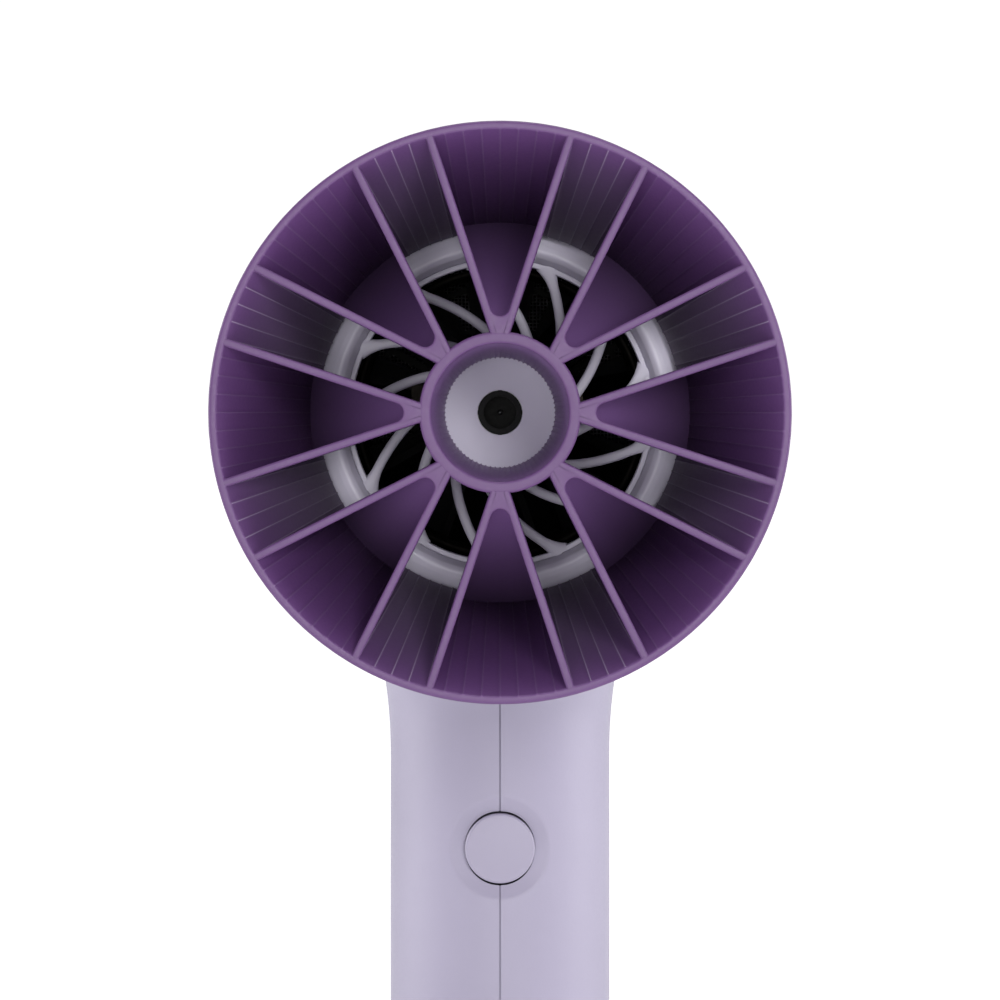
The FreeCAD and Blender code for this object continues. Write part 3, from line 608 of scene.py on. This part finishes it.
# ---- foot of the handle ----------------------------------------------------------------------
# A lavender cap closes the handle, held by two pan head screws. The cord enters through a soft
# bush in its middle.
cap_finish = plastic("cap_lavender", (0.27, 0.248, 0.335), rough=0.5)
finish(["handle_end_cap"], cap_finish)
finish(["cord_gland"], plastic("gland_rubber", (0.16, 0.14, 0.19), rough=0.62, relief=0.3))
finish(["end_cap_screws"], steel_finish)

# ---- speed knob ------------------------------------------------------------------------------
# Slide knob at the back of the handle, in the button's lavender, with cross ribs for the thumb.
# It runs over a dark dust strip that closes the slot in the casing.
knob_low, knob_high = (corner * 1000 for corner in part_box("switch_knob"))
KNOB_HALF = (knob_high.x, (knob_high.z - knob_low.z) / 2)
KNOB_Z = (knob_high.z + knob_low.z) / 2
KNOB_TOP = knob_high.y
KNOB_CORNER = 2.0
KNOB_RIBS = 6
KNOB_RIB_HIGH = 0.35
KNOB_EDGE = 0.8
STRIP_HALF = (2.8, 9.0)


def round_rectangle(half_x, half_z, corner, count=160):
    """Outline of a rectangle with round corners, as x and z of evenly spaced points."""
    outline = rounded([(half_x, half_z, corner), (-half_x, half_z, corner), (-half_x, -half_z, corner),
                       (half_x, -half_z, corner)], 9)
    outline = np.concatenate([outline, outline[:1]])
    run = np.concatenate([[0], np.cumsum(np.linalg.norm(np.diff(outline, axis=0), axis=1))])
    even = np.linspace(0, run[-1], count, endpoint=False)
    return np.stack([np.interp(even, run, outline[:, 0]), np.interp(even, run, outline[:, 1])], axis=1)


def knob_pad():
    """Rounded-rectangle outlines stacked from the handle's skin to the edge, then drawn in on top.

    The top carries thumb ribs, a row of cosine waves along the handle that fade at its edge.
    """
    outline = round_rectangle(*KNOB_HALF, KNOB_CORNER)
    x, z = outline[:, 0], outline[:, 1]
    rows = [np.stack([x, np.sqrt((HANDLE_R + 0.15) ** 2 - x ** 2), z], axis=1)]
    for bend in np.linspace(0, np.pi / 2, 6):
        inset = KNOB_EDGE * (1 - np.cos(bend))
        y = 0 * x + KNOB_TOP - KNOB_RIB_HIGH - KNOB_EDGE * (1 - np.sin(bend))
        rows.append(np.stack([x * (1 - inset / KNOB_HALF[0]), y, z * (1 - inset / KNOB_HALF[1])], axis=1))
    x, z = rows[-1][:, 0], rows[-1][:, 2]
    for share in np.linspace(1, 0, 40)[1:]:
        wave = (1 - np.cos(2 * np.pi * KNOB_RIBS * (z * share / (2 * z.max()) + 0.5))) / 2
        lift = KNOB_RIB_HIGH * wave * np.clip((1 - share) * 8, 0, 1)
        rows.append(np.stack([x * share, KNOB_TOP - KNOB_RIB_HIGH + lift, z * share], axis=1))
    return np.array(rows) + (0, 0, KNOB_Z)


knob = piece("speed_slider", "speed_knob", [(knob_pad(), True, False), (knob_pad()[:1], True, True)],
             button_finish)
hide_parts("switch_knob")
strip_x, strip_z = round_rectangle(*STRIP_HALF, 1.5).T
strip_rows = [np.stack([strip_x * k, np.sqrt((HANDLE_R + lift) ** 2 - (strip_x * k) ** 2),
                        KNOB_Z + strip_z * k], axis=1)
              for k, lift in ((0.0, -0.3), (1.0, -0.3), (1.0, 0.04), (0.97, 0.06), (0.0, 0.06))]
dust_strip = piece("slider_dust_strip", "dryer_body", [(np.array(strip_rows), True, False)], dark_moulding)

# ---- intake ----------------------------------------------------------------------------------
# Perforated lavender cover held by magnets at the back, over a woven filter and a fixed guard.


def woven(name, dark, light):
    """Wire cloth: two sets of threads at right angles, each a row of sine ridges."""
    material, tree, shader, place = new_material(name)
    split = tree.nodes.new("ShaderNodeSeparateXYZ")
    tree.links.new(place, split.inputs["Vector"])
    ridges = []
    for axis in ("X", "Z"):
        wave = tree.nodes.new("ShaderNodeMath")
        wave.operation = "MULTIPLY"
        wave.inputs[1].default_value = 9000.0
        tree.links.new(split.outputs[axis], wave.inputs[0])
        swing = tree.nodes.new("ShaderNodeMath")
        swing.operation = "SINE"
        tree.links.new(wave.outputs[0], swing.inputs[0])
        ridges.append(swing.outputs[0])
    top = tree.nodes.new("ShaderNodeMath")
    top.operation = "MAXIMUM"
    tree.links.new(ridges[0], top.inputs[0])
    tree.links.new(ridges[1], top.inputs[1])
    tree.links.new(tones(tree, top.outputs[0], dark, light, 0.0, 0.9), shader.inputs["Base Color"])
    raise_skin(tree, shader, top.outputs[0], 0.5, 0.0002)
    shader.inputs["Metallic"].default_value = 0.6
    shader.inputs["Roughness"].default_value = 0.4
    return material


finish(["rear_cover"], casing_finish)
finish(["intake_guard"], dark_moulding)
finish(["filter_mesh"], woven("filter_cloth", (0.01, 0.01, 0.012), (0.22, 0.21, 0.24)))

# ---- diffuser collar -------------------------------------------------------------------------
# Purple ring that slides over the outlet ring and is held by small magnets. The bell turns on it.
PURPLE = (0.185, 0.095, 0.26)
collar_finish = plastic("purple_collar", [c * 0.4 for c in PURPLE], rough=0.42)
finish(["diffuser_collar"], collar_finish)

# ---- diffuser bell: wall ---------------------------------------------------------------------
# Deep conical bell moulded in satin purple. Fine flutes run up the inside of its wall, and they
# end as small notches at the rim.
RIM_Y = -92.0
RIM_R = 50.0
RIM_IN_R = 48.4
BELL_BACK = -58.0
THROAT_R = 32.0
SKIRT_IN_R = 34.7
SKIRT_OUT_R = 36.1
SKIRT_END = -46.7
POCKETS = 8                             # closed pockets, with an open channel between each two
FLUTES = 96
FLUTE_HIGH = 0.16
CREASE_R = 33.4                         # radius of the crease where floors and wall meet
# Painted light: a paler grey for the wall in the open air channels, standing in for light in the channels.
CHANNEL_GREY = (0.165, 0.115, 0.21)
OUTER_PURPLE = (0.098, 0.043, 0.138)


def about_axis(tree, place):
    """Distance of each point from the barrel's axis, and its turn clockwise from the top."""
    centred = tree.nodes.new("ShaderNodeMapping")
    centred.inputs["Location"].default_value = (0, 0, -AXIS_Z / 1000)
    centred.inputs["Scale"].default_value = (1, 0, 1)
    tree.links.new(place, centred.inputs["Vector"])
    length = tree.nodes.new("ShaderNodeVectorMath")
    length.operation = "LENGTH"
    tree.links.new(centred.outputs["Vector"], length.inputs[0])
    split = tree.nodes.new("ShaderNodeSeparateXYZ")
    tree.links.new(centred.outputs["Vector"], split.inputs["Vector"])
    return length.outputs["Value"], reckon(tree, "ARCTAN2", split.outputs["X"], split.outputs["Z"])


def reckon(tree, operation, first, second=None):
    """One step of arithmetic on a value, with another value or a fixed number."""
    node = tree.nodes.new("ShaderNodeMath")
    node.operation = operation
    tree.links.new(first, node.inputs[0])
    if isinstance(second, (int, float)):
        node.inputs[1].default_value = second
    elif second is not None:
        tree.links.new(second, node.inputs[1])
    return node.outputs["Value"]


def mixed(tree, share, first, second):
    """Colour that goes from first to second with the share."""
    node = tree.nodes.new("ShaderNodeMix")
    node.data_type = "RGBA"
    tree.links.new(share, node.inputs["Factor"])
    tree.links.new(first, node.inputs["A"])
    tree.links.new(second, node.inputs["B"])
    return node.outputs["Result"]


def bell_plastic(name, full, channels):
    """Satin plastic whose full colour is darkened towards the crease between floors and wall, as painted
    shade.

    With channels, the wall between the ribs of a pair is greyer and paler towards the back, which is painted
    light, and each flute's edge carries a painted highlight.
    """
    material, tree, shader, place = new_material(name)
    distance, turn = about_axis(tree, place)
    away = reckon(tree, "ABSOLUTE", reckon(tree, "SUBTRACT", distance, CREASE_R / 1000))
    # Painted shade: the colour falls to a fifth of its full value at the crease, standing in for the shade in
    # the valley between floors and wall.
    colour = tones(tree, away, [c * 0.2 for c in full], full, 0.0, 0.0165)
    if channels:
        # Painted light in the channels, which also darkens towards the crease as painted shade.
        grey = tones(tree, away, [c * 0.3 for c in CHANNEL_GREY], CHANNEL_GREY, 0.0, 0.0165)
        eighth = reckon(tree, "FRACT", reckon(tree, "MULTIPLY", turn, POCKETS / (2 * np.pi)))
        off_centre = reckon(tree, "ABSOLUTE", reckon(tree, "SUBTRACT", eighth, 0.5))
        channel = between(tree, off_centre, 1.0, 0.0, 0.19, 0.21)
        deep = between(tree, distance, 1.0, 0.1, 0.036, 0.0475)
        colour = mixed(tree, reckon(tree, "MULTIPLY", channel, deep), colour, grey)
        # Painted highlight: a pale line along each flute's edge, strongest in the channels; it also darkens
        # towards the crease as painted shade.
        part = reckon(tree, "FRACT", reckon(tree, "MULTIPLY", turn, FLUTES / (2 * np.pi)))
        off_flute = reckon(tree, "ABSOLUTE", reckon(tree, "SUBTRACT", part, 0.5))
        highlight_tone = tones(tree, away, (0.10, 0.08, 0.12), (0.28, 0.22, 0.33), 0.0, 0.0165)
        flute_highlight = between(tree, off_flute, 0.0, 0.8, 0.45, 0.49)
        flute_highlight = reckon(tree, "MULTIPLY", flute_highlight, between(tree, channel, 0.18, 1.0, 0.0, 1.0))
        colour = mixed(tree, flute_highlight, colour, highlight_tone)
    slow = noise(tree, place, 30.0, 4.0)
    tree.links.new(tinted(tree, colour, between(tree, slow, 0.96, 1.04)), shader.inputs["Base Color"])
    fine = noise(tree, place, 1800.0)
    tree.links.new(between(tree, fine, 0.36, 0.46), shader.inputs["Roughness"])
    raise_skin(tree, shader, fine, 0.08, 0.0001)
    shader.inputs["Specular IOR Level"].default_value = 0.35
    return material


def tinted(tree, colour, strength):
    """Colour made lighter or darker by a value."""
    node = tree.nodes.new("ShaderNodeVectorMath")
    node.operation = "SCALE"
    tree.links.new(colour, node.inputs[0])
    tree.links.new(strength, node.inputs["Scale"])
    return node.outputs["Vector"]


def fluted(outline, share, count=FLUTES, high=FLUTE_HIGH, half=0.1):
    """Surface of revolution with count narrow ridges that stand inwards, scaled by share.

    Each ridge is one cosine hump, half its width in periods on either side, and the columns
    stand close together on it and wide apart between ridges.
    """
    offsets = np.array([-1.0, -0.5, 0.0, 0.5, 1.0, (0.5 - half) / half * 0.5 + 1]) * half
    period = np.arange(count)[:, None]
    angle = ((period + offsets) * 2 * np.pi / count).reshape(-1, 1)
    near = np.tile(np.clip(np.abs(offsets) / half, 0, 1), count)[:, None]
    hump = high * (1 + np.cos(np.pi * near)) / 2
    radius = outline[:, 0] - hump * share
    around = np.stack([radius * np.sin(angle), outline[:, 1] + 0 * angle,
                       AXIS_Z + radius * np.cos(angle)], axis=-1)
    return np.concatenate([around, around[:1]])


wall_outline = rounded([
    (THROAT_R, -56.6, 0.2), (THROAT_R, BELL_BACK, 0.6), (RIM_IN_R, RIM_Y, 0.5), (RIM_R, RIM_Y, 0.75),
    (SKIRT_OUT_R + 0.2, -60.0, 2.5), (SKIRT_OUT_R, SKIRT_END, 0.3), (SKIRT_IN_R, SKIRT_END, 0.2),
    (SKIRT_IN_R, -50.1, 0), (SKIRT_IN_R + 0.6, -51.5, 0.3), (SKIRT_IN_R, -52.9, 0),
    (SKIRT_IN_R, -56.6, 0)], 6)
inside = np.clip((wall_outline[:, 1] < -57.0) * (RIM_R - 0.9 - wall_outline[:, 0]) * 2, 0, 1)
cone_r = THROAT_R + (BELL_BACK - wall_outline[:, 1]) / (BELL_BACK - RIM_Y) * (RIM_IN_R - THROAT_R)
inside = inside * (np.abs(wall_outline[:, 0] - cone_r) < 0.6)
wall = piece("diffuser_wall", "diffuser", [(fluted(wall_outline, inside), True, False)],
             bell_plastic("fluted_purple", (0.10, 0.042, 0.145), True), 50.0)
wall.data.materials.append(plastic("outer_purple", OUTER_PURPLE, rough=0.42, relief=0.08))
centres, normals = np.empty(len(wall.data.polygons) * 3), np.empty(len(wall.data.polygons) * 3)
wall.data.polygons.foreach_get("center", centres)
wall.data.polygons.foreach_get("normal", normals)
spread, facing = centres.reshape(-1, 3)[:, ::2] - (0, AXIS_Z / 1000), normals.reshape(-1, 3)[:, ::2]
inward = -(spread * facing).sum(axis=1) / np.linalg.norm(spread, axis=1)
wall.data.polygons.foreach_set("material_index", (inward < 0.6).astype(np.int32))
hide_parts("diffuser_bell")

# ---- diffuser bell: ribs ---------------------------------------------------------------------
# Sixteen straight ribs, a pair beside each open air channel, flush with the rim at the front and
# joined to the wall. Each pair of neighbours meets in a solid, hollow-rounded tip at the hub.
RIB_HALF = 0.7
RIB_START = 3.37                        # half the channel's width, carried on to the bell's axis
RIB_SPREAD = np.radians(4.15)
RIB_EDGE = 0.35
RIB_SINK = 0.02                         # how far the ribs' front edges lie behind the rim
# Painted light: the front edges' colour, darker than the flanks' PURPLE because the edges face the lamps.
RIB_FRONT = (0.088, 0.038, 0.125)
HUB_R = 13.8
TIP_ROUND = 1.65
pocket_half = np.pi / POCKETS - RIB_SPREAD
apex_v = RIB_START * np.cos(RIB_SPREAD) / np.sin(pocket_half)


def set_round(x, y, v, angle):
    """Points from a frame whose v runs outwards, turned clockwise by angle from the top."""
    return np.stack([x * np.cos(angle) + v * np.sin(angle), y + 0 * x + 0 * v,
                     AXIS_Z + v * np.cos(angle) - x * np.sin(angle)], axis=-1)


def rib(side, angle):
    """Bar whose section has rounded front corners; its back edge follows the channel, then the wall."""
    u = np.linspace(HUB_R - 1.0, 48.75, 26)
    line_x = side * (RIB_START + np.tan(RIB_SPREAD) * u)
    u = u * np.minimum(1, 48.9 / np.hypot(u, line_x))
    reach = np.hypot(u, line_x)
    wall_y = BELL_BACK - (reach - 0.5 - THROAT_R) / (RIM_IN_R - THROAT_R) * (BELL_BACK - RIM_Y)
    back = np.minimum(BELL_BACK, wall_y)
    back = np.maximum(back, RIM_Y + 1.0)
    front = rounded([(RIB_HALF, 1.0, 0), (RIB_HALF, 0, RIB_EDGE), (-RIB_HALF, 0, RIB_EDGE),
                     (-RIB_HALF, 1.0, 0)])
    share = (front[:, 1] >= 0.999) * 1.0
    y = (RIM_Y + RIB_SINK + front[:, 1]) * (1 - share) + back[:, None] * share
    x = line_x[:, None] + front[:, 0]
    return set_round(x, y, u[:, None] + 0 * x, angle)


def tip(angle):
    """Solid tip of a pocket: a front skin from the hub to a hollow arc, rolled over and down it."""
    face_apex = apex_v + RIB_HALF / np.sin(pocket_half)
    centre_v = face_apex + TIP_ROUND / np.sin(pocket_half)
    swing = np.linspace(-1, 1, 17)[:, None] * (np.pi / 2 - pocket_half)
    point_x, point_v = TIP_ROUND * np.sin(swing), centre_v - TIP_ROUND * np.cos(swing)
    in_x, in_v = -np.sin(swing), np.cos(swing)
    bend = np.linspace(0, np.pi / 2, 5)
    roll = RIB_EDGE * (1 - np.sin(bend))
    hub_x = point_x * 0.35
    x = np.concatenate([hub_x, point_x - in_x * roll, point_x, hub_x], axis=1)
    hub_v = 0 * hub_x + HUB_R - 0.6
    v = np.concatenate([hub_v, point_v - in_v * roll, point_v, hub_v], axis=1)
    y = RIM_Y + RIB_SINK + np.concatenate([[0], RIB_EDGE * (1 - np.cos(bend)), [13.0, 13.0]])
    return set_round(x, y, v, angle)


rib_grids = []
for k in range(POCKETS):
    channel = 2 * np.pi * (k + 0.5) / POCKETS
    rib_grids += [(rib(-1, channel), True, True), (rib(1, channel), True, True)]
    rib_grids.append((tip(2 * np.pi * k / POCKETS), True, True))


def edged_plastic():
    """Satin purple with painted light: a shade deeper on the front edges, which face the lamps, than down the
    flanks, which lie in the bell's shade.
    """
    material, tree, shader, place = new_material("satin_purple")
    split = tree.nodes.new("ShaderNodeSeparateXYZ")
    tree.links.new(place, split.inputs["Vector"])
    depth = reckon(tree, "SUBTRACT", split.outputs["Y"], RIM_Y / 1000)
    # Painted light: darker on the lit front edges, paler down the shaded flanks.
    colour = tones(tree, depth, RIB_FRONT, PURPLE, 0.0006, 0.003)
    slow = noise(tree, place, 30.0, 4.0)
    tree.links.new(tinted(tree, colour, between(tree, slow, 0.96, 1.04)), shader.inputs["Base Color"])
    fine = noise(tree, place, 1800.0)
    tree.links.new(between(tree, fine, 0.38, 0.48), shader.inputs["Roughness"])
    raise_skin(tree, shader, fine, 0.08, 0.0001)
    shader.inputs["Specular IOR Level"].default_value = 0.35
    return material


rib_finish = edged_plastic()
ribs = piece("diffuser_ribs", "diffuser", rib_grids, rib_finish)
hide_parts("diffuser_bell")

# ---- diffuser bell: pocket floors ------------------------------------------------------------
# Each of the eight closed pockets has a sloping floor, a patch of one cone that climbs from the
# wall's foot to the tip near the hub and turns the air out through the channels beside it.
FLOOR_THICK = 1.5
FLOOR_IN_R = 15.0
FLOOR_OUT_R = 34.3
FLOOR_RISE = 25.3 / 17.4                # depth gained for each step outwards
FLOOR_TIP_R = 16.0
FLOOR_TIP_DEEP = 6.0                    # depth of the floor under the rim at that radius


def pocket_floor(angle):
    """Patch of a cone between the middles of two ribs, with a parallel underside."""
    r = np.linspace(FLOOR_IN_R, FLOOR_OUT_R, 24)
    y = RIM_Y + FLOOR_TIP_DEEP + (r - FLOOR_TIP_R) * FLOOR_RISE
    loop_r = np.concatenate([r, r[::-1]])
    loop_y = np.concatenate([y, y[::-1] + FLOOR_THICK * np.hypot(1, FLOOR_RISE)])
    half = pocket_half - np.arcsin(apex_v * np.sin(pocket_half) / loop_r)
    turn = angle + np.linspace(-1, 1, 9)[:, None] * half
    return np.stack([loop_r * np.sin(turn), loop_y + 0 * turn, AXIS_Z + loop_r * np.cos(turn)], axis=-1)


floor_grids = [(pocket_floor(2 * np.pi * k / POCKETS), True, True) for k in range(POCKETS)]
# Painted light and shade: the floors take PURPLE, nearly twice as pale as the wall's purple, a painted lift
# of the shade in the pockets, and they darken towards the crease as painted shade.
floors = piece("diffuser_floors", "diffuser", floor_grids, bell_plastic("floor_purple", PURPLE, False))
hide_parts("diffuser_bell")

# ---- diffuser bell: hub ring -----------------------------------------------------------------
# Ring in the middle that the ribs run into. Its bore tapers towards the ion outlet behind it and
# ends in fine teeth.
HUB_FRONT_R = 11.8
HUB_BACK_R = 9.7
hub_ring = rounded([(HUB_BACK_R, BELL_BACK, 0.3), (HUB_BACK_R + 0.3, BELL_BACK - 4.0, 0),
                    (HUB_BACK_R + 0.5, BELL_BACK - 7.0, 0), (HUB_FRONT_R, RIM_Y, 0.45),
                    (HUB_R, RIM_Y, 0.45), (HUB_R, BELL_BACK, 0.2)], 6)
toothed = np.clip((HUB_BACK_R + 0.45 - hub_ring[:, 0]) * 8, 0, 1) * (hub_ring[:, 1] < BELL_BACK + 1)
teeth = fluted(hub_ring, toothed, count=72, high=0.22, half=0.25)
hub = piece("diffuser_hub", "diffuser", [(teeth, True, False)], rib_finish)
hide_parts("diffuser_bell")

# ---- studio ----------------------------------------------------------------------------------
# White table and backdrop, a soft key light at the upper right and a tall softbox on each side.
# The table glows more with distance, so that it runs into the backdrop without a line.
AIM = (0.0, -0.03, 0.14)


def softbox(name, place, size, power):
    """Rectangular light that faces the dryer."""
    lamp = bpy.data.lights.new(name, "AREA")
    lamp.shape = "RECTANGLE"
    lamp.size, lamp.size_y = size
    lamp.energy = power
    made = bpy.data.objects.new(name, lamp)
    made.location = place
    made.rotation_euler = (Vector(AIM) - Vector(place)).to_track_quat("-Z", "Y").to_euler()
    bpy.context.scene.collection.objects.link(made)


softbox("key_light", (0.36, -1.32, 0.42), (0.35, 0.35), 7.5)
softbox("front_fill", (-0.14, -1.35, 0.10), (0.40, 0.40), 4.5)
softbox("top_softbox", (0.10, -0.10, 1.10), (0.7, 0.7), 5.0)
softbox("left_softbox", (-0.85, 0.07, 0.22), (0.5, 0.9), 7.0)
softbox("right_softbox", (0.85, 0.0, 0.22), (0.5, 0.9), 6.5)

table, tree, shader, place = new_material("white_table")
white = tones(tree, noise(tree, place, 6.0), (0.86, 0.86, 0.86), (0.9, 0.9, 0.9))
tree.links.new(white, shader.inputs["Base Color"])
shader.inputs["Roughness"].default_value = 0.9
shader.inputs["Emission Color"].default_value = (1, 1, 1, 1)
reach = tree.nodes.new("ShaderNodeVectorMath")
reach.operation = "LENGTH"
tree.links.new(place, reach.inputs[0])
tree.links.new(between(tree, reach.outputs["Value"], 0.3, 0.8, 0.3, 1.4), shader.inputs["Emission Strength"])
table_mesh = bpy.data.meshes.new("floor")
table_mesh.from_pydata([(-40, -40, 0), (40, -40, 0), (40, 40, 0), (-40, 40, 0)], [], [(0, 1, 2, 3)])
table_mesh.materials.append(table)
floor = bpy.data.objects.new("floor", table_mesh)
bpy.context.scene.collection.objects.link(floor)

world = bpy.data.worlds.new("white_studio")
world.use_nodes = True
tree = world.node_tree
sky = tree.nodes["Background"]
sky.inputs["Color"].default_value = (1, 1, 1, 1)
rays = tree.nodes.new("ShaderNodeLightPath")
tree.links.new(between(tree, rays.outputs["Is Camera Ray"], 0.40, 1.05, 0.0, 1.0), sky.inputs["Strength"])
bpy.context.scene.world = world
bpy.context.scene.view_settings.view_transform = "Standard"

lens = bpy.data.cameras.new("camera")
lens.lens = 211.4
lens.sensor_width = 36.0
lens.shift_y = -0.0875
lens.clip_end = 200.0
camera = bpy.data.objects.new("camera", lens)
camera.location = (0.0, -1.092, 0.160)
camera.rotation_euler = (np.pi / 2, 0.0, 0.0)
bpy.context.scene.collection.objects.link(camera)
bpy.context.scene.camera = camera
